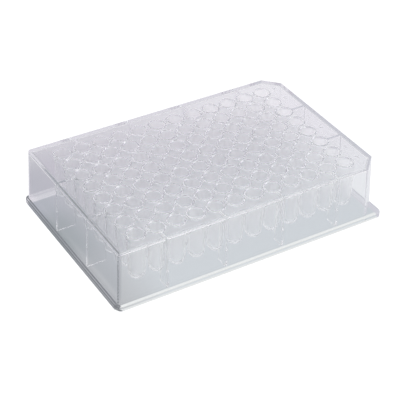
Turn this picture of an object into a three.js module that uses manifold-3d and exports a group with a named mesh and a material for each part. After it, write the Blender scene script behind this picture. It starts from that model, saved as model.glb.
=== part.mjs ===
// Deep-well plate: one clear polystyrene moulding that holds 96 samples of up to about 0.6 ml.
// A flange carries a hollow skirt that is open below. The skirt carries a flat deck, and the
// round-bottomed wells hang from the deck, with ribs that tie the outermost wells to the skirt.
//
// Millimetres, +Z up. The origin is the middle of the footprint, on the surface that the plate
// stands on. X runs along the rows of twelve, towards the end whose two corners are cut.

import * as THREE from 'three';
import { mergeGeometries, mergeVertices } from 'three/addons/utils/BufferGeometryUtils.js';
import Module from 'manifold-3d';

const wasm = await Module();
wasm.setup();

// Driving dimensions.

const footprintLength = 127.76;
const footprintWidth = 85.48;
const plateHeight = 26.3;

const flangeHeight = 2.2;
const flangeCornerRadius = 3.18;

const skirtSetback = 1.3; // from the flange's edge to the foot of the skirt
const skirtDraft = 0.95; // how far each side of the skirt leans in on its way up
const skirtWall = 1.2;
const skirtCornerRadius = 1.5;
const hollowCornerRadius = 0.6;
const cutCornerLeg = 6.5;

const deckThickness = 1.2;
const deckEdgeBevel = 0.5;

const wellColumns = 12;
const wellRows = 8;
const wellPitch = 9;
const mouthRadius = 3.4;
const bottomRadius = 3.0; // where the tapered bore meets its round bottom
const wellWall = 0.6;
const wellFloor = 1.0;
const wellGroundClearance = 5.0; // from the ground to the underside of a well's round bottom

const ribThickness = 1.0;
const ribFootHeight = 2.2; // from the ground to the rib's lower edge
const ribSpacing = 3; // wells from one rib to the next
const firstRibColumn = 1; // counted from zero, at the -X end
const firstRibRow = 2; // counted from zero, at the -Y side

// How finely the round forms are cut into flat faces.

const boreFacets = 10;
const tubeFacets = 8;
const domeSteps = 2;
const cornerSteps = 4;

// How far a cutting body reaches past the face that it opens.

const cutOvershoot = 1;

// Sizes that follow from the ones above.

const skirtLean = skirtDraft / plateHeight;
const deckUnderside = plateHeight - deckThickness;
const boreDomeCentre = wellGroundClearance + wellFloor + bottomRadius;
const tubeDomeRadius = bottomRadius + wellWall;
const tubeDomeCentre = wellGroundClearance + tubeDomeRadius;
const boreTaper = (mouthRadius - bottomRadius) / (plateHeight - boreDomeCentre);
const tubeMouthRadius = mouthRadius + wellWall;
const tubeTaper = (tubeMouthRadius - tubeDomeRadius) / (plateHeight - tubeDomeCentre);

// A closed three.js geometry as a manifold solid: shared corners are merged, and the faces that
// shrink to nothing at a pole are dropped.
function toSolid(geometry) {
  const bare = geometry.clone();
  bare.deleteAttribute('normal');
  bare.deleteAttribute('uv');
  const merged = mergeVertices(bare);
  const index = merged.index.array;
  const triangles = [];
  for (let i = 0; i < index.length; i += 3) {
    const [a, b, c] = [index[i], index[i + 1], index[i + 2]];
    if (a !== b && b !== c && c !== a) triangles.push(a, b, c);
  }
  const mesh = new wasm.Mesh({
    numProp: 3,
    vertProperties: new Float32Array(merged.attributes.position.array),
    triVerts: new Uint32Array(triangles),
  });
  return new wasm.Manifold(mesh);
}

function toGeometry(solid) {
  const mesh = solid.getMesh();
  const geometry = new THREE.BufferGeometry();
  geometry.setAttribute('position', new THREE.BufferAttribute(mesh.vertProperties, 3));
  geometry.setIndex(new THREE.BufferAttribute(mesh.triVerts, 1));
  geometry.computeVertexNormals();
  return geometry;
}

// A rectangle with round corners at its -X end. Its +X corners are round as well, or cut at
// 45 degrees where a leg is given.
function plateOutline(halfLength, halfWidth, cornerRadius, cutLeg = 0) {
  const outline = new THREE.Shape();
  const cornerX = halfLength - cornerRadius;
  const cornerY = halfWidth - cornerRadius;
  outline.absarc(-cornerX, -cornerY, cornerRadius, Math.PI, 1.5 * Math.PI);
  if (cutLeg > 0) {
    outline.lineTo(halfLength - cutLeg, -halfWidth);
    outline.lineTo(halfLength, -halfWidth + cutLeg);
    outline.lineTo(halfLength, halfWidth - cutLeg);
    outline.lineTo(halfLength - cutLeg, halfWidth);
  } else {
    outline.absarc(cornerX, -cornerY, cornerRadius, 1.5 * Math.PI, 2 * Math.PI);
    outline.absarc(cornerX, cornerY, cornerRadius, 0, 0.5 * Math.PI);
  }
  outline.absarc(-cornerX, cornerY, cornerRadius, 0.5 * Math.PI, Math.PI);
  outline.closePath();
  return outline;
}

// An upright block over an outline. Its sides move in by lowInset at the bottom and by highInset
// at the top, which gives a moulded wall its draft.
function draftedBlock(outline, low, high, lowInset = 0, highInset = 0) {
  const settings = { depth: high - low, bevelEnabled: false, curveSegments: cornerSteps };
  const block = new THREE.ExtrudeGeometry(outline, settings);
  const corners = block.attributes.position;
  for (let i = 0; i < corners.count; i += 1) {
    const [x, y] = [corners.getX(i), corners.getY(i)];
    const inset = corners.getZ(i) > 0 ? highInset : lowInset;
    corners.setX(i, x - Math.sign(x) * inset);
    corners.setY(i, y - Math.sign(y) * inset);
  }
  block.translate(0, 0, low);
  return toSolid(block);
}

// The radius of a ring of flat facets that holds as much as the round form it stands for.
function facetedRadius(radius, facets) {
  const turn = (2 * Math.PI) / facets;
  return radius * Math.sqrt(turn / Math.sin(turn));
}

// A tapered round body on a domed bottom, revolved from its half section. It starts at the
// dome's lowest point and widens by taper for each millimetre above the dome.
function domedBody(domeRadius, domeCentre, taper, top, facets) {
  const section = [];
  for (let step = 0; step <= domeSteps; step += 1) {
    const angle = (step / domeSteps) * 0.5 * Math.PI;
    const across = facetedRadius(domeRadius * Math.sin(angle), facets);
    section.push(new THREE.Vector2(across, domeCentre - domeRadius * Math.cos(angle)));
  }
  section[0].x = 0;
  const topRadius = domeRadius + taper * (top - domeCentre);
  section.push(new THREE.Vector2(facetedRadius(topRadius, facets), top));
  section.push(new THREE.Vector2(0, top));
  const flatTowardsNeighbour = Math.PI / facets;
  const body = new THREE.LatheGeometry(section, facets, flatTowardsNeighbour);
  body.rotateX(0.5 * Math.PI);
  return body;
}

const columnX = (column) => (column - (wellColumns - 1) / 2) * wellPitch;
const rowY = (row) => (row - (wellRows - 1) / 2) * wellPitch;

// One copy of a body in every well's place.
function atEachWell(body) {
  const copies = [];
  for (let row = 0; row < wellRows; row += 1) {
    for (let column = 0; column < wellColumns; column += 1) {
      copies.push(body.clone().translate(columnX(column), rowY(row), 0));
    }
  }
  return toSolid(mergeGeometries(copies));
}

// A web that stands on edge between the skirt and a well's tube, and hangs from the deck down to
// its level foot. It is drawn outwards along +X from the well's axis, reaches past the skirt so
// that it can be trimmed there, and is then turned and moved to its well.
function ribTowards(direction, reach, x, y) {
  const tubeSide = tubeDomeRadius - 0.5 * wellWall;
  const ribTop = deckUnderside + 0.5 * deckThickness;
  const side = new THREE.Shape();
  side.moveTo(tubeSide, ribFootHeight);
  side.lineTo(reach, ribFootHeight);
  side.lineTo(reach, ribTop);
  side.lineTo(tubeSide, ribTop);
  side.closePath();
  const rib = new THREE.ExtrudeGeometry(side, { depth: ribThickness, bevelEnabled: false });
  rib.translate(0, 0, -0.5 * ribThickness);
  rib.rotateX(0.5 * Math.PI);
  rib.rotateZ(direction);
  rib.translate(x, y, 0);
  return rib;
}

function ribs() {
  const webs = [];
  const sideRow = rowY(wellRows - 1);
  const endColumn = columnX(wellColumns - 1);
  const sideReach = 0.5 * footprintWidth - skirtSetback - sideRow;
  const endReach = 0.5 * footprintLength - skirtSetback - endColumn;
  for (let column = firstRibColumn; column < wellColumns; column += ribSpacing) {
    webs.push(ribTowards(0.5 * Math.PI, sideReach, columnX(column), sideRow));
    webs.push(ribTowards(-0.5 * Math.PI, sideReach, columnX(column), -sideRow));
  }
  for (let row = firstRibRow; row < wellRows; row += ribSpacing) {
    webs.push(ribTowards(0, endReach, endColumn, rowY(row)));
    webs.push(ribTowards(Math.PI, endReach, -endColumn, rowY(row)));
  }
  return toSolid(mergeGeometries(webs));
}

function wellPlate() {
  const footLength = 0.5 * footprintLength - skirtSetback;
  const footWidth = 0.5 * footprintWidth - skirtSetback;
  const bevelFoot = plateHeight - deckEdgeBevel;

  // The skirt's outside, up to the deck, with a bevel round the deck's edge.
  const skirtOutline = plateOutline(footLength, footWidth, skirtCornerRadius, cutCornerLeg);
  const leanAtBevel = skirtLean * bevelFoot;
  const sides = draftedBlock(skirtOutline, 0, bevelFoot, 0, leanAtBevel);
  const edge = draftedBlock(skirtOutline, bevelFoot, plateHeight, leanAtBevel,
    leanAtBevel + deckEdgeBevel);
  const outside = sides.add(edge);

  // The hollow keeps one wall thickness to the skirt's outside, round the cut corners too.
  const hollowOutline = plateOutline(footLength - skirtWall, footWidth - skirtWall,
    hollowCornerRadius, cutCornerLeg - (2 - Math.SQRT2) * skirtWall);
  const hollow = draftedBlock(hollowOutline, -cutOvershoot, deckUnderside,
    -skirtLean * cutOvershoot, skirtLean * deckUnderside);

  const flange = draftedBlock(
    plateOutline(0.5 * footprintLength, 0.5 * footprintWidth, flangeCornerRadius),
    0, flangeHeight);

  const tubeTop = deckUnderside + 0.5 * deckThickness;
  const tubes = atEachWell(
    domedBody(tubeDomeRadius, tubeDomeCentre, tubeTaper, tubeTop, tubeFacets));
  const bores = atEachWell(domedBody(bottomRadius, boreDomeCentre, boreTaper,
    plateHeight + cutOvershoot, boreFacets));

  return outside
    .add(flange)
    .subtract(hollow)
    .add(tubes)
    .add(ribs().intersect(outside))
    .subtract(bores);
}

const clearPlastic = new THREE.MeshStandardMaterial({
  name: 'clear_plastic',
  color: 0xdcdce6,
  roughness: 0.08,
  metalness: 0,
  transparent: true,
  opacity: 0.4,
});

const plate = new THREE.Mesh(toGeometry(wellPlate()), clearPlastic);
plate.name = 'well_plate';

const group = new THREE.Group();
group.add(plate);

export default group;
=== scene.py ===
"""A clear deep-well plate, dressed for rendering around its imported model."""

import math

import bmesh
import bpy
from mathutils import Matrix, Vector


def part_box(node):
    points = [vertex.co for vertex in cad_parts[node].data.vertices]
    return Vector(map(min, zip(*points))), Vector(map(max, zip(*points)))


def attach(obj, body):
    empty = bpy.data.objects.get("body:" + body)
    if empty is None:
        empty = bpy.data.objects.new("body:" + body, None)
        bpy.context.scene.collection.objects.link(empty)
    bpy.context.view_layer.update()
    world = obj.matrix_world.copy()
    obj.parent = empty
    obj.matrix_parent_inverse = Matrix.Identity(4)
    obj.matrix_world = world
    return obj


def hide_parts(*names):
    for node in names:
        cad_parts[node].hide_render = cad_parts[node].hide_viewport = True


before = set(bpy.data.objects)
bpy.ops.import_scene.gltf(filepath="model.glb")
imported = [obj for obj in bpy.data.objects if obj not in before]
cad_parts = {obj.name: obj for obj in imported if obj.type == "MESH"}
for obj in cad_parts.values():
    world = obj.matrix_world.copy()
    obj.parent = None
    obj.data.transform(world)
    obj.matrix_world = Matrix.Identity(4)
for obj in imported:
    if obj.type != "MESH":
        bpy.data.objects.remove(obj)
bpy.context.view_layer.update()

# ---------------------------------------------------------------------------------------------
# Camera
# It stands off the plate's near left corner and looks down on it through a long lens, so that
# the deck, the front wall and the left wall all show.

MM = 0.001

aim_point = Vector((-2.88, -2.61, 6.86)) * MM
camera_distance = 556.2 * MM
camera_azimuth = math.radians(-31.85)
camera_elevation = math.radians(36.02)
camera_roll = math.radians(1.43)
sensor_width = 36.0  # this and the lens are in millimetres, as a camera gives them
lens_length = 118.46
nearest_in_view = 0.01
farthest_in_view = 20.0

backward = Vector((
    math.sin(camera_azimuth) * math.cos(camera_elevation),
    -math.cos(camera_azimuth) * math.cos(camera_elevation),
    math.sin(camera_elevation),
))
level_right = Vector((math.cos(camera_azimuth), math.sin(camera_azimuth), 0.0))
roll = Matrix.Rotation(camera_roll, 3, backward)
picture_right = roll @ level_right
picture_up = roll @ backward.cross(level_right)

camera_data = bpy.data.cameras.new("camera")
camera_data.sensor_width = sensor_width
camera_data.lens = lens_length
camera_data.clip_start = nearest_in_view
camera_data.clip_end = farthest_in_view
camera = bpy.data.objects.new("camera", camera_data)
turn = Matrix((picture_right, picture_up, backward)).transposed().to_4x4()
camera.matrix_world = Matrix.Translation(aim_point + backward * camera_distance) @ turn
bpy.context.scene.collection.objects.link(camera)
bpy.context.scene.camera = camera

# ---------------------------------------------------------------------------------------------
# Skirt, flange and deck
# The outer body is one drafted box of clear polystyrene, open below, on a flange of the
# standard footprint. Its two corners at the +X end are cut, and every moulded edge is eased.
# It comes out of the mould in one piece with the wells and the ribs.

foot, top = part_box("well_plate")
plate_height = top.z
half_length = 0.5 * (top.x - foot.x)
half_width = 0.5 * (top.y - foot.y)

flange_height = 2.2 * MM
flange_corner_radius = 3.18 * MM
flange_edge_radius = 0.5 * MM
flange_foot_chamfer = 0.1 * MM
skirt_setback = 1.3 * MM
skirt_draft = 0.95 * MM
skirt_wall = 1.2 * MM
skirt_corner_radius = 1.5 * MM
cut_corner_leg = 6.5 * MM
cut_edge_radius = 0.3 * MM
hollow_edge_radius = 0.3 * MM
hollow_corner_radius = 0.6 * MM
deck_thickness = 1.2 * MM
deck_edge_radius = 0.15 * MM
under_deck_radius = 0.8 * MM
underside_finish = 0.7  # 0 is polished, 1 is fine matt

skirt_lean = skirt_draft / plate_height
deck_underside = plate_height - deck_thickness
overshoot = 1.0 * MM  # how far a cutting body reaches past the face that it opens
height_slack = 0.01 * MM  # allowed where a face is told apart by its height
corner_steps = 8
edge_steps = 4


def rounded_outline(corners):
    """Plan outline through (x, y, radius) corners, anticlockwise, with an arc at each of them."""
    points = []
    for i, (x, y, radius) in enumerate(corners):
        here = Vector((x, y))
        before = (Vector(corners[i - 1][:2]) - here).normalized()
        after = (Vector(corners[(i + 1) % len(corners)][:2]) - here).normalized()
        half_angle = 0.5 * before.angle(after)
        centre = here + (before + after).normalized() * radius / math.sin(half_angle)
        start = here + before * radius / math.tan(half_angle) - centre
        arc = math.pi - 2.0 * half_angle
        for step in range(corner_steps + 1):
            arm = Matrix.Rotation(arc * step / corner_steps, 2) @ start
            points.append(centre + arm)
    return points


def plate_outline(inset, cut_leg, corner_radius, cut_radius):
    """The body's plan at its foot, moved in by inset, with its two +X corners cut."""
    x, y = half_length - inset, half_width - inset
    return rounded_outline([
        (-x, -y, corner_radius),
        (x - cut_leg, -y, cut_radius),
        (x, -y + cut_leg, cut_radius),
        (x, y - cut_leg, cut_radius),
        (x - cut_leg, y, cut_radius),
        (-x, y, corner_radius),
    ])


def eased_edge(height, inset, radius):
    """Levels of a quarter-round edge that ends at height. Each is a (height, inset) pair."""
    levels = []
    for step in range(edge_steps + 1):
        angle = 0.5 * math.pi * step / edge_steps
        rise = radius * (math.sin(angle) - 1.0)
        levels.append((height + rise, inset + radius * (1.0 - math.cos(angle))))
    return levels


def mesh_object(name, vertices, faces):
    mesh = bpy.data.meshes.new(name)
    mesh.from_pydata(vertices, [], faces)
    mesh.validate()
    obj = bpy.data.objects.new(name, mesh)
    bpy.context.scene.collection.objects.link(obj)
    return obj


def lofted(name, outline, levels):
    """A closed block whose outline moves in by each level's inset at that level's height."""
    vertices = []
    for height, inset in levels:
        for point in outline:
            x = point.x - math.copysign(inset, point.x)
            y = point.y - math.copysign(inset, point.y)
            vertices.append((x, y, height))
    count = len(outline)
    faces = [tuple(reversed(range(count)))]
    faces.append(tuple(range(count * (len(levels) - 1), count * len(levels))))
    for level in range(len(levels) - 1):
        low = level * count
        for i in range(count):
            j = (i + 1) % count
            faces.append((low + i, low + j, low + count + j, low + count + i))
    return mesh_object(name, vertices, faces)


def give_finish(shape, finish_at):
    """Marks how matt the mould leaves each face, by its height: 0 is polished, 1 is fine matt."""
    marks = shape.data.attributes.new("matt_finish", "FLOAT", "FACE")
    marks.data.foreach_set("value", [finish_at(face.center.z) for face in shape.data.polygons])


body_outline = plate_outline(
    skirt_setback, cut_corner_leg, skirt_corner_radius, cut_edge_radius)
body = lofted(
    "plate_body",
    body_outline,
    [(0.0, 0.0)] + eased_edge(
        plate_height, skirt_lean * (plate_height - deck_edge_radius), deck_edge_radius),
)

flange_outline = rounded_outline([
    (-half_length, -half_width, flange_corner_radius),
    (half_length, -half_width, flange_corner_radius),
    (half_length, half_width, flange_corner_radius),
    (-half_length, half_width, flange_corner_radius),
])
flange = lofted(
    "plate_flange",
    flange_outline,
    [(0.0, flange_foot_chamfer), (flange_foot_chamfer, 0.0)] + eased_edge(
        flange_height, 0.0, flange_edge_radius),
)

hollow_cut_leg = cut_corner_leg - (2.0 - math.sqrt(2.0)) * skirt_wall
hollow = lofted(
    "plate_hollow",
    plate_outline(
        skirt_setback + skirt_wall, hollow_cut_leg, hollow_corner_radius, hollow_edge_radius),
    [(-overshoot, -skirt_lean * overshoot)] + eased_edge(
        deck_underside, skirt_lean * (deck_underside - under_deck_radius), under_deck_radius),
)
at_underside = deck_underside - height_slack
give_finish(hollow, lambda height: underside_finish if height > at_underside else 0.0)

# ---------------------------------------------------------------------------------------------
# Wells
# Each well is a tapered tube of the same plastic that hangs from the deck and ends in a round
# bottom. Its mouth is eased, and a small fillet joins the tube to the deck's underside. The
# mould's cores and cavities leave the tubes and bores fine matt and the rims nearly polished.

well_columns = 12
well_rows = 8
well_pitch = 9.0 * MM
mouth_radius = 3.4 * MM
bottom_radius = 3.0 * MM
well_wall = 0.6 * MM
well_floor = 1.0 * MM
well_ground_clearance = 5.0 * MM
mouth_edge_radius = 0.3 * MM
tube_fillet_radius = 0.12 * MM
tube_finish = 0.5
bore_finish = 0.75
rim_finish = 0.1

round_segments = 48
dome_steps = 5
mouth_edge_steps = 4
tube_fillet_steps = 2
clean_crossing = 0.002 * MM  # keeps an arc's last ring just past the plane that it meets

bore_dome_centre = well_ground_clearance + well_floor + bottom_radius
tube_dome_radius = bottom_radius + well_wall
tube_dome_centre = well_ground_clearance + tube_dome_radius


def dome(radius, centre):
    """Half section of a round bottom, from its lowest point up to its widest."""
    section = []
    for step in range(dome_steps + 1):
        angle = 0.5 * math.pi * step / dome_steps
        section.append((radius * math.sin(angle), centre - radius * math.cos(angle)))
    return section


def flare(radius, height, edge_radius, steps):
    """Half section of the quarter-round where a wall of that radius turns out into a plane."""
    section = []
    for step in range(steps + 1):
        angle = 0.5 * math.pi * step / steps
        section.append((
            radius + edge_radius * (1.0 - math.cos(angle)),
            height + clean_crossing + edge_radius * (math.sin(angle) - 1.0),
        ))
    return section


def revolved(name, section):
    """A closed round body from a half section that starts and ends on the axis."""
    vertices = [(0.0, 0.0, section[0][1]), (0.0, 0.0, section[-1][1])]
    rings = section[1:-1]
    for radius, height in rings:
        for i in range(round_segments):
            angle = 2.0 * math.pi * i / round_segments
            vertices.append((radius * math.cos(angle), radius * math.sin(angle), height))
    faces = []
    last = 2 + (len(rings) - 1) * round_segments
    for i in range(round_segments):
        j = (i + 1) % round_segments
        faces.append((0, 2 + j, 2 + i))
        faces.append((1, last + i, last + j))
        for ring in range(len(rings) - 1):
            low = 2 + ring * round_segments
            high = low + round_segments
            faces.append((low + i, low + j, high + j, high + i))
    return mesh_object(name, vertices, faces)


tube_mouth_radius = mouth_radius + well_wall
inside_deck = deck_underside + 0.5 * deck_thickness
tube_section = dome(tube_dome_radius, tube_dome_centre)
tube_section += flare(
    tube_mouth_radius, deck_underside, tube_fillet_radius, tube_fillet_steps)
tube_section += [(tube_section[-1][0], inside_deck), (0.0, inside_deck)]
tube = revolved("well_tube", tube_section)
give_finish(tube, lambda height: tube_finish)

above_deck = plate_height + overshoot
bore_section = dome(bottom_radius, bore_dome_centre)
bore_section += flare(mouth_radius, plate_height, mouth_edge_radius, mouth_edge_steps)
bore_section += [(bore_section[-1][0], above_deck), (0.0, above_deck)]
bore = revolved("well_bore", bore_section)
rim_foot = plate_height - mouth_edge_radius
give_finish(bore, lambda height: rim_finish if height > rim_foot else bore_finish)

# ---------------------------------------------------------------------------------------------
# Ribs
# Thin webs, moulded with the rest, stand on edge between the skirt and the outermost wells, in
# line with every third column and every third row. They hang from the deck and end level, a
# little above the ground.

rib_thickness = 1.0 * MM
rib_foot_height = 2.2 * MM
rib_spacing = 3
first_rib_column = 1
first_rib_row = 2


def rib(name, wall_distance, turn_angle):
    """A web from a well's tube out to the middle of the skirt wall, in the direction given."""
    in_wall = wall_distance - 0.5 * skirt_wall
    tube_side = tube_dome_radius - 0.5 * well_wall
    side = [
        (tube_side, rib_foot_height),
        (in_wall - skirt_lean * rib_foot_height, rib_foot_height),
        (in_wall - skirt_lean * inside_deck, inside_deck),
        (tube_side, inside_deck),
    ]
    half = 0.5 * rib_thickness
    vertices = [(x, -half, z) for x, z in side] + [(x, half, z) for x, z in side]
    faces = [(0, 1, 2, 3), (7, 6, 5, 4)]
    faces += [(i, i + 4, (i + 1) % 4 + 4, (i + 1) % 4) for i in range(4)]
    web = mesh_object(name, vertices, faces)
    web.data.transform(Matrix.Rotation(turn_angle, 4, "Z"))
    return web


last_row_y = 0.5 * (well_rows - 1) * well_pitch
last_column_x = 0.5 * (well_columns - 1) * well_pitch
side_reach = half_width - skirt_setback - last_row_y
end_reach = half_length - skirt_setback - last_column_x
side_rib = rib("side_rib", side_reach, 0.5 * math.pi)
end_rib = rib("end_rib", end_reach, 0.0)

# ---------------------------------------------------------------------------------------------
# Row letters
# The mould sinks a plain capital into the deck's top beside each row of wells, A to H, between
# the last column and the +X edge. They read from the +Y side.

row_letters = "ABCDEFGH"
letter_size = 3.2 * MM
letter_depth = 0.15 * MM
letter_from_last_column = 6.9 * MM
letter_curve_steps = 3
same_point = 0.001 * MM  # corners closer than this are one


def engraving(letters, size, depth, line_x, first_y, pitch):
    """Cutting blocks for a line of letters along Y, sunk that deep below the deck's top."""
    blocks = bmesh.new()
    for row, letter in enumerate(letters):
        outline = bpy.data.curves.new("row_letter", "FONT")
        outline.body = letter
        outline.size = size
        outline.extrude = depth
        outline.align_x = "CENTER"
        outline.align_y = "CENTER"
        outline.resolution_u = letter_curve_steps
        block = bpy.data.objects.new("row_letter", outline)
        bpy.context.scene.collection.objects.link(block)
        bpy.context.view_layer.update()
        drawn = block.evaluated_get(bpy.context.evaluated_depsgraph_get())
        block_mesh = bpy.data.meshes.new_from_object(drawn)
        place_at = Matrix.Translation((line_x, first_y + row * pitch, plate_height))
        block_mesh.transform(place_at @ Matrix.Rotation(math.pi, 4, "Z"))
        blocks.from_mesh(block_mesh)
        bpy.data.objects.remove(block)
    bmesh.ops.remove_doubles(blocks, verts=blocks.verts, dist=same_point)
    bmesh.ops.recalc_face_normals(blocks, faces=blocks.faces)
    joined_mesh = bpy.data.meshes.new("row_letters")
    blocks.to_mesh(joined_mesh)
    blocks.free()
    engraved = bpy.data.objects.new("row_letters", joined_mesh)
    bpy.context.scene.collection.objects.link(engraved)
    return engraved


letter_line_x = last_column_x + letter_from_last_column
letter_cutters = engraving(
    row_letters, letter_size, letter_depth, letter_line_x, -last_row_y, well_pitch)

# ---------------------------------------------------------------------------------------------
# The moulding
# Body, flange, wells and ribs come out of the mould as one piece of clear polystyrene. The tree
# below repeats the wells and the ribs on their grid, joins everything, and opens the hollow and
# the bores.

sharp_edge_angle = math.radians(32.0)  # an edge that turns by less is shaded smooth

tree = bpy.data.node_groups.new("well_plate_moulding", "GeometryNodeTree")
tree_input = {}


def tree_socket(name, kind, direction="INPUT"):
    socket = tree.interface.new_socket(name=name, in_out=direction, socket_type=kind)
    tree_input[name] = socket.identifier


tree_socket("Body", "NodeSocketGeometry")
tree_socket("Moulding", "NodeSocketGeometry", "OUTPUT")
for label in ("Flange", "Hollow", "Tube", "Bore", "Side Rib", "End Rib", "Letters"):
    tree_socket(label, "NodeSocketObject")
for label in ("Columns", "Rows", "Rib Spacing", "First Rib Column", "First Rib Row"):
    tree_socket(label, "NodeSocketInt")
for label in ("Pitch", "Sharp Edge Angle"):
    tree_socket(label, "NodeSocketFloat")
tree_socket("Plastic", "NodeSocketMaterial")

given = tree.nodes.new("NodeGroupInput")


def connect(source, target):
    """Links two sockets of one tree."""
    target.id_data.links.new(source, target)


def feed(socket, value):
    """Sets an input to a plain value, or links it where the value is another node's output."""
    if isinstance(value, bpy.types.NodeSocket):
        connect(value, socket)
    else:
        socket.default_value = value


def node(within, kind, inputs=None, **settings):
    """A new node in the tree given, with its inputs set by name or by number."""
    made = within.nodes.new(kind)
    for name, value in settings.items():
        setattr(made, name, value)
    for name, value in (inputs or {}).items():
        feed(made.inputs[name], value)
    return made


def maths(operation, first, second):
    return node(tree, "ShaderNodeMath", {0: first, 1: second}, operation=operation).outputs[0]


def shape_of(label):
    """The mesh of the object that a tree input names."""
    info = node(tree, "GeometryNodeObjectInfo", {"Object": given.outputs[label]})
    return info.outputs["Geometry"]


def repeated(points, shape, turned=0.0):
    """A copy of a shape on each point, as real geometry."""
    copies = node(tree, "GeometryNodeInstanceOnPoints", {
        "Points": points,
        "Instance": shape,
        "Rotation": (0.0, 0.0, turned),
    })
    return node(tree, "GeometryNodeRealizeInstances", {"Geometry": copies.outputs[0]}).outputs[0]


def joined(*shapes):
    union = node(tree, "GeometryNodeMeshBoolean", operation="UNION", solver="MANIFOLD")
    for shape in shapes:
        connect(shape, union.inputs["Mesh 2"])
    return union.outputs["Mesh"]


def cut(shape, *cutters):
    difference = node(tree, "GeometryNodeMeshBoolean", {
        "Mesh 1": shape,
    }, operation="DIFFERENCE", solver="MANIFOLD")
    for cutter in cutters:
        connect(cutter, difference.inputs["Mesh 2"])
    return difference.outputs["Mesh"]


def steps_to_size(count):
    """Length from the first to the last of that many wells, one pitch apart."""
    return maths("MULTIPLY", maths("SUBTRACT", count, 1), given.outputs["Pitch"])


def rib_line(axis, count, first, across, side, shape, turned):
    """Ribs of one side: a line of points on the outermost row or column, every few wells."""
    half_run = maths("MULTIPLY", steps_to_size(count), -0.5)
    start = maths("ADD", half_run, maths("MULTIPLY", first, given.outputs["Pitch"]))
    offset = maths("MULTIPLY", steps_to_size(across), 0.5 * side)
    step = maths("MULTIPLY", given.outputs["Rib Spacing"], given.outputs["Pitch"])
    wells_left = maths("SUBTRACT", count, first)
    ribs_on_side = maths("CEIL", maths("DIVIDE", wells_left, given.outputs["Rib Spacing"]), 0)
    other_axis = "Y" if axis == "X" else "X"
    start_point = node(tree, "ShaderNodeCombineXYZ", {axis: start, other_axis: offset})
    step_vector = node(tree, "ShaderNodeCombineXYZ", {axis: step})
    line = node(tree, "GeometryNodeMeshLine", {
        "Count": ribs_on_side,
        "Start Location": start_point.outputs[0],
        "Offset": step_vector.outputs[0],
    }, mode="OFFSET")
    return repeated(line.outputs[0], shape, turned)


grid = node(tree, "GeometryNodeMeshGrid", {
    "Size X": steps_to_size(given.outputs["Columns"]),
    "Size Y": steps_to_size(given.outputs["Rows"]),
    "Vertices X": given.outputs["Columns"],
    "Vertices Y": given.outputs["Rows"],
})
tubes = repeated(grid.outputs["Mesh"], shape_of("Tube"))
bores = repeated(grid.outputs["Mesh"], shape_of("Bore"))
rib_rows = []
for side, half_turn in ((1.0, 0.0), (-1.0, math.pi)):
    rib_rows.append(rib_line(
        "X", given.outputs["Columns"], given.outputs["First Rib Column"],
        given.outputs["Rows"], side, shape_of("Side Rib"), half_turn))
    rib_rows.append(rib_line(
        "Y", given.outputs["Rows"], given.outputs["First Rib Row"],
        given.outputs["Columns"], side, shape_of("End Rib"), half_turn))

shell = cut(joined(given.outputs["Body"], shape_of("Flange")), shape_of("Hollow"))
moulding = cut(joined(shell, tubes, *rib_rows), bores, shape_of("Letters"))

edge_angle = node(tree, "GeometryNodeInputMeshEdgeAngle").outputs["Unsigned Angle"]
is_sharp = node(tree, "FunctionNodeCompare", {
    0: edge_angle,
    1: given.outputs["Sharp Edge Angle"],
}, operation="GREATER_THAN")
smooth_faces = node(tree, "GeometryNodeSetShadeSmooth", {"Geometry": moulding}, domain="FACE")
keep_crisp = node(tree, "GeometryNodeSetShadeSmooth", {
    "Geometry": smooth_faces.outputs[0],
    "Selection": is_sharp.outputs[0],
    "Shade Smooth": False,
}, domain="EDGE")
realized = node(tree, "GeometryNodeRealizeInstances", {"Geometry": keep_crisp.outputs[0]})
painted = node(tree, "GeometryNodeSetMaterial", {
    "Geometry": realized.outputs[0],
    "Material": given.outputs["Plastic"],
})
result = tree.nodes.new("NodeGroupOutput")
connect(painted.outputs[0], result.inputs[0])

# Clear polystyrene. Its surface is neutral, and a cool tint builds up along the length of the
# walls. The tubes, the bores and the deck's underside among the wells are fine matt, and the
# rest is polished. The melt's flow leaves a faint waviness, and handling a thin haze.

surface_colour = (0.982, 0.982, 0.982, 1.0)
refraction = 1.59
tint_colour = (0.0, 0.04, 0.16, 1.0)
tint_density = 2.2
polished_roughness = 0.02
handled_roughness = 0.06
matt_roughness = 0.40
matt_margin = 0.5 * MM  # how far the matt underside reaches past the end columns' tubes
matt_fade = 0.5 * MM
haze_scale = 900.0
haze_detail = 3.0
flow_scale = 60.0
flow_detail = 2.0
flow_strength = 0.15
flow_depth = 0.2 * MM

clear_plastic = bpy.data.materials.new("clear_plastic")
clear_plastic.use_nodes = True
plastic_tree = clear_plastic.node_tree
plastic = plastic_tree.nodes["Principled BSDF"]
plastic.inputs["Base Color"].default_value = surface_colour
plastic.inputs["IOR"].default_value = refraction
plastic.inputs["Transmission Weight"].default_value = 1.0
tint = plastic_tree.nodes.new("ShaderNodeVolumeAbsorption")
tint.inputs["Color"].default_value = tint_colour
tint.inputs["Density"].default_value = tint_density
connect(tint.outputs[0], plastic_tree.nodes["Material Output"].inputs["Volume"])

on_plate = node(plastic_tree, "ShaderNodeTexCoord").outputs["Object"]
haze = node(plastic_tree, "ShaderNodeTexNoise", {
    "Vector": on_plate,
    "Scale": haze_scale,
    "Detail": haze_detail,
})
haze_roughness = node(plastic_tree, "ShaderNodeMapRange", {
    "Value": haze.outputs["Fac"],
    "To Min": polished_roughness,
    "To Max": handled_roughness,
})

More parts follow.
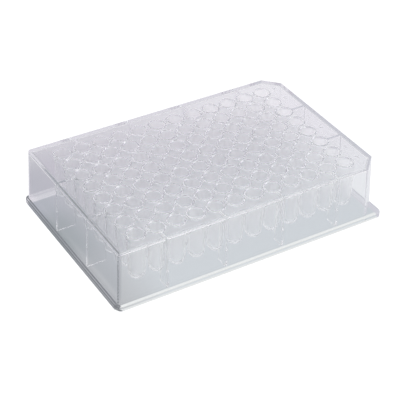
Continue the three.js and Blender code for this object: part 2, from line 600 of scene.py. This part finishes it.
matt_edge = last_column_x + tube_mouth_radius + matt_margin
position_on_plate = node(plastic_tree, "ShaderNodeSeparateXYZ", {0: on_plate})
from_middle_x = node(
    plastic_tree, "ShaderNodeMath", {0: position_on_plate.outputs["X"]}, operation="ABSOLUTE")
among_wells = node(plastic_tree, "ShaderNodeMapRange", {
    "Value": from_middle_x.outputs[0],
    "From Min": matt_edge,
    "From Max": matt_edge + matt_fade,
    "To Min": 1.0,
    "To Max": 0.0,
})
matt_finish = node(plastic_tree, "ShaderNodeAttribute", attribute_name="matt_finish")
matt_here = node(plastic_tree, "ShaderNodeMath", {
    0: matt_finish.outputs["Fac"],
    1: among_wells.outputs["Result"],
}, operation="MULTIPLY")
finish = node(plastic_tree, "ShaderNodeMix", {
    "Factor": matt_here.outputs[0],
    "A": haze_roughness.outputs["Result"],
    "B": matt_roughness,
})
connect(finish.outputs["Result"], plastic.inputs["Roughness"])

flow = node(plastic_tree, "ShaderNodeTexNoise", {
    "Vector": on_plate,
    "Scale": flow_scale,
    "Detail": flow_detail,
})
flow_bump = node(plastic_tree, "ShaderNodeBump", {
    "Height": flow.outputs["Fac"],
    "Strength": flow_strength,
    "Distance": flow_depth,
})
connect(flow_bump.outputs["Normal"], plastic.inputs["Normal"])

modifier = body.modifiers.new("moulding", "NODES")
modifier.node_group = tree
tree_values = {
    "Flange": flange,
    "Hollow": hollow,
    "Tube": tube,
    "Bore": bore,
    "Side Rib": side_rib,
    "End Rib": end_rib,
    "Letters": letter_cutters,
    "Columns": well_columns,
    "Rows": well_rows,
    "Rib Spacing": rib_spacing,
    "First Rib Column": first_rib_column,
    "First Rib Row": first_rib_row,
    "Pitch": well_pitch,
    "Sharp Edge Angle": sharp_edge_angle,
    "Plastic": clear_plastic,
}
for label, value in tree_values.items():
    modifier[tree_input[label]] = value
weighted = body.modifiers.new("flat_faces_stay_flat", "WEIGHTED_NORMAL")
weighted.keep_sharp = True

bpy.context.view_layer.update()
depsgraph = bpy.context.evaluated_depsgraph_get()
finished_mesh = bpy.data.meshes.new_from_object(body.evaluated_get(depsgraph), depsgraph=depsgraph)
well_plate = bpy.data.objects.new("moulded_well_plate", finished_mesh)
bpy.context.scene.collection.objects.link(well_plate)
for mould_shape in (body, flange, hollow, tube, bore, side_rib, end_rib, letter_cutters):
    bpy.data.objects.remove(mould_shape)

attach(well_plate, "root")
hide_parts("well_plate")

# ---------------------------------------------------------------------------------------------
# Floor
# A seamless matt white sweep that the plate stands on. Through clear plastic it glows with painted
# light and shade: white far from the plate, a painted soft shade close by and a deeper one
# underneath.

floor_reach = 6.0
floor_glow = 0.86  # what the camera sees of the sweep before light and shade are added
floor_colour = (0.25, 0.25, 0.25, 1.0)

# Painted light and shade: glowing tones that the plastic sees around and below itself, in place
# of light cast on the floor. Light is taken to come from the right, so the painted shade is
# deepest under the plate's left edge and spreads out to the left.
far_away = (1.0, 1.0, 1.0, 1.0)
# Painted light and shade beside the plate, paler towards the right, where the light is taken to
# come from.
behind_left = (0.56, 0.54, 0.61, 1.0)
behind_right = (0.90, 0.88, 0.94, 1.0)
in_front_left = (0.96, 0.97, 0.97, 1.0)
in_front_right = (0.86, 0.88, 0.91, 1.0)
# Painted shade beside the left end and under the plate, deepest under its left part.
shade_on_left = (0.41, 0.44, 0.48, 1.0)
under_back = (0.62, 0.59, 0.66, 1.0)
under_front = (0.59, 0.63, 0.67, 1.0)
under_back_left = (0.44, 0.46, 0.515, 1.0)
under_middle_left = (0.335, 0.367, 0.388, 1.0)
under_front_left = (0.447, 0.46, 0.487, 1.0)
# Painted light: paler bands on the floor under the back wall and the front flange.
painted_light_under_back_wall = (0.78, 0.76, 0.82, 1.0)
painted_light_under_front_flange = (0.82, 0.84, 0.84, 1.0)
under_right_flange = (0.64, 0.64, 0.70, 1.0)
# Painted shadow: a dark thin line where the left wall stands on the floor.
painted_shadow_under_left_wall = (0.20, 0.21, 0.23, 1.0)

# Where one tone gives way to the next, as a start and an end. These are measured from the
# middle of the plate towards its +X end, which is the right one.
side_to_side = (-80.0 * MM, 80.0 * MM)
behind_side_to_side = (-35.0 * MM, 80.0 * MM)
past_left_end = (-half_length - 4.0 * MM, -half_length)
under_left_side = (-half_length, 30.0 * MM - half_length)
at_right_flange = (half_length - 3.0 * MM, half_length - 2.0 * MM)
# These are measured from the middle towards the front.
back_to_front = (-half_width, half_width)
back_to_middle = (-36.0 * MM, -18.0 * MM)
middle_to_front = (-8.0 * MM, 12.0 * MM)
at_back_wall = (2.8 * MM - half_width, 4.2 * MM - half_width)
at_front_flange = (half_width - 2.9 * MM, half_width - 2.3 * MM)
# These are measured outwards from the middle of the left wall and from the plate's edge.
at_left_wall = (0.35 * skirt_wall, 0.75 * skirt_wall)
past_plate_edge = (0.0, 3.0 * MM)
out_of_shade = (12.0 * MM, 70.0 * MM)

floor = mesh_object(
    "floor",
    [(-floor_reach, -floor_reach, 0.0), (floor_reach, -floor_reach, 0.0),
     (floor_reach, floor_reach, 0.0), (-floor_reach, floor_reach, 0.0)],
    [(0, 1, 2, 3)],
)

sweep = bpy.data.materials.new("white_sweep")
sweep.use_nodes = True
sweep_tree = sweep.node_tree
sweep_tree.nodes.clear()


def eased(value, low, high):
    """Eases a value from 0 at low to 1 at high."""
    ramp = node(value.id_data, "ShaderNodeMapRange", {
        "Value": value,
        "From Min": low,
        "From Max": high,
    }, interpolation_type="SMOOTHSTEP")
    return ramp.outputs["Result"]


def along(position, direction):
    """How far a position or a view direction reaches along another direction."""
    reach = node(position.id_data, "ShaderNodeVectorMath", {
        0: position,
        1: direction,
    }, operation="DOT_PRODUCT")
    return reach.outputs["Value"]


def blended(factor, first, second):
    """A colour between two others. Each is a plain colour or another node's output."""
    tone = node(factor.id_data, "ShaderNodeMix", {"Factor": factor}, data_type="RGBA")
    colours = [socket for socket in tone.inputs if socket.type == "RGBA"]
    for socket, colour in zip(colours, (first, second)):
        feed(socket, colour)
    return next(output for output in tone.outputs if output.type == "RGBA")


def passing(distance, band, before, after):
    """Passes from one tone to another while a distance crosses a band."""
    return blended(eased(distance, *band), before, after)


def vector_maths(operation, *vectors):
    """A sum on places on the floor. Each vector is plain numbers or another node's output."""
    made = node(sweep_tree, "ShaderNodeVectorMath", dict(enumerate(vectors)), operation=operation)
    return made.outputs["Value" if operation == "LENGTH" else "Vector"]


on_floor = node(sweep_tree, "ShaderNodeNewGeometry").outputs["Position"]
rightwards = along(on_floor, (1.0, 0.0, 0.0))
frontwards = along(on_floor, (0.0, -1.0, 0.0))
past_plate = vector_maths(
    "SUBTRACT", vector_maths("ABSOLUTE", on_floor), (half_length, half_width, 0.0))
distance_out = vector_maths("LENGTH", vector_maths("MAXIMUM", past_plate, (0.0, 0.0, 0.0)))
left_wall_middle = half_length - skirt_setback - 0.5 * skirt_wall
past_left_wall = node(sweep_tree, "ShaderNodeMath", {
    0: rightwards,
    1: left_wall_middle,
}, operation="ADD").outputs[0]
from_left_wall = node(sweep_tree, "ShaderNodeMath", {
    0: past_left_wall,
}, operation="ABSOLUTE").outputs[0]

behind = passing(rightwards, behind_side_to_side, behind_left, behind_right)
in_front = passing(rightwards, side_to_side, in_front_left, in_front_right)
beside = passing(frontwards, back_to_front, behind, in_front)
beside = passing(rightwards, past_left_end, shade_on_left, beside)
beside = passing(distance_out, out_of_shade, beside, far_away)

below_left = passing(frontwards, back_to_middle, under_back_left, under_middle_left)
below_left = passing(frontwards, middle_to_front, below_left, under_front_left)
below = passing(frontwards, back_to_front, under_back, under_front)
below = passing(rightwards, under_left_side, below_left, below)
below = passing(frontwards, at_back_wall, painted_light_under_back_wall, below)
below = passing(frontwards, at_front_flange, below, painted_light_under_front_flange)
below = passing(rightwards, at_right_flange, below, under_right_flange)
below = passing(from_left_wall, at_left_wall, painted_shadow_under_left_wall, below)

# The plastic sees this glow of painted light and shade. The camera sees the lit white sweep.
painted_light_and_shade = node(sweep_tree, "ShaderNodeEmission", {
    "Color": passing(distance_out, past_plate_edge, below, beside),
})
glow = node(sweep_tree, "ShaderNodeEmission", {"Strength": floor_glow})
shaded = node(sweep_tree, "ShaderNodeBsdfDiffuse", {"Color": floor_colour})
to_camera = node(sweep_tree, "ShaderNodeAddShader", {0: glow.outputs[0], 1: shaded.outputs[0]})
shown = node(sweep_tree, "ShaderNodeMixShader", {
    0: node(sweep_tree, "ShaderNodeLightPath").outputs["Is Camera Ray"],
    1: painted_light_and_shade.outputs[0],
    2: to_camera.outputs[0],
})
node(sweep_tree, "ShaderNodeOutputMaterial", {"Surface": shown.outputs[0]})
floor.data.materials.append(sweep)

# ---------------------------------------------------------------------------------------------
# Light
# A pale studio that the plastic mirrors and refracts: bright overhead and in front on the right,
# dim behind, with one large soft box above. Seen directly, its walls are white.

studio_white = (1.0, 1.0, 1.0, 1.0)
studio_wall = (0.75, 0.75, 0.78, 1.0)
studio_zones = [  # the direction, where the tone begins and is full along it, and the tone
    ((-0.53, -0.85, 0.0), (0.7, 0.9), (0.92, 0.91, 0.92, 1.0)),
    ((-0.66, 0.66, 0.36), (0.75, 0.92), (0.42, 0.42, 0.46, 1.0)),
    ((0.56, 0.56, 0.61), (0.78, 0.92), (0.55, 0.56, 0.62, 1.0)),
    ((-0.07, 0.79, 0.61), (0.90, 0.97), (0.45, 0.43, 0.56, 1.0)),
    ((0.60, -0.60, 0.53), (0.75, 0.92), (1.25, 1.24, 1.22, 1.0)),
    ((0.0, 0.0, 1.0), (0.85, 0.95), (1.25, 1.24, 1.28, 1.0)),
]
soft_box_place = Vector((0.3, 0.6, 1.6))
soft_box_size = 1.2
soft_box_power = 6.0
light_bounces = 200  # a ray crosses dozens of walls on its way through the wells

studio = bpy.data.worlds.new("studio")
studio.use_nodes = True
bpy.context.scene.world = studio
studio_tree = studio.node_tree
view_direction = node(studio_tree, "ShaderNodeTexCoord").outputs["Generated"]
studio_tone = studio_wall
for zone_direction, zone_band, zone_tone in studio_zones:
    into_zone = along(view_direction, zone_direction)
    studio_tone = passing(into_zone, zone_band, studio_tone, zone_tone)
around = studio_tree.nodes["Background"]
connect(studio_tone, around.inputs["Color"])
white = node(studio_tree, "ShaderNodeBackground", {"Color": studio_white})
studio_seen = node(studio_tree, "ShaderNodeMixShader", {
    0: node(studio_tree, "ShaderNodeLightPath").outputs["Is Camera Ray"],
    1: around.outputs[0],
    2: white.outputs[0],
})
connect(studio_seen.outputs[0], studio_tree.nodes["World Output"].inputs["Surface"])

soft_box_light = bpy.data.lights.new("overhead_box", "AREA")
soft_box_light.shape = "SQUARE"
soft_box_light.size = soft_box_size
soft_box_light.energy = soft_box_power
soft_box = bpy.data.objects.new("overhead_box", soft_box_light)
soft_box.location = soft_box_place
soft_box.rotation_euler = (-soft_box_place).to_track_quat("-Z", "Y").to_euler()
bpy.context.scene.collection.objects.link(soft_box)

bpy.context.scene.view_settings.view_transform = "Standard"
bpy.context.scene.cycles.max_bounces = light_bounces
bpy.context.scene.cycles.transmission_bounces = light_bounces
bpy.context.scene.cycles.glossy_bounces = light_bounces
bpy.context.scene.cycles.blur_glossy = 0.0
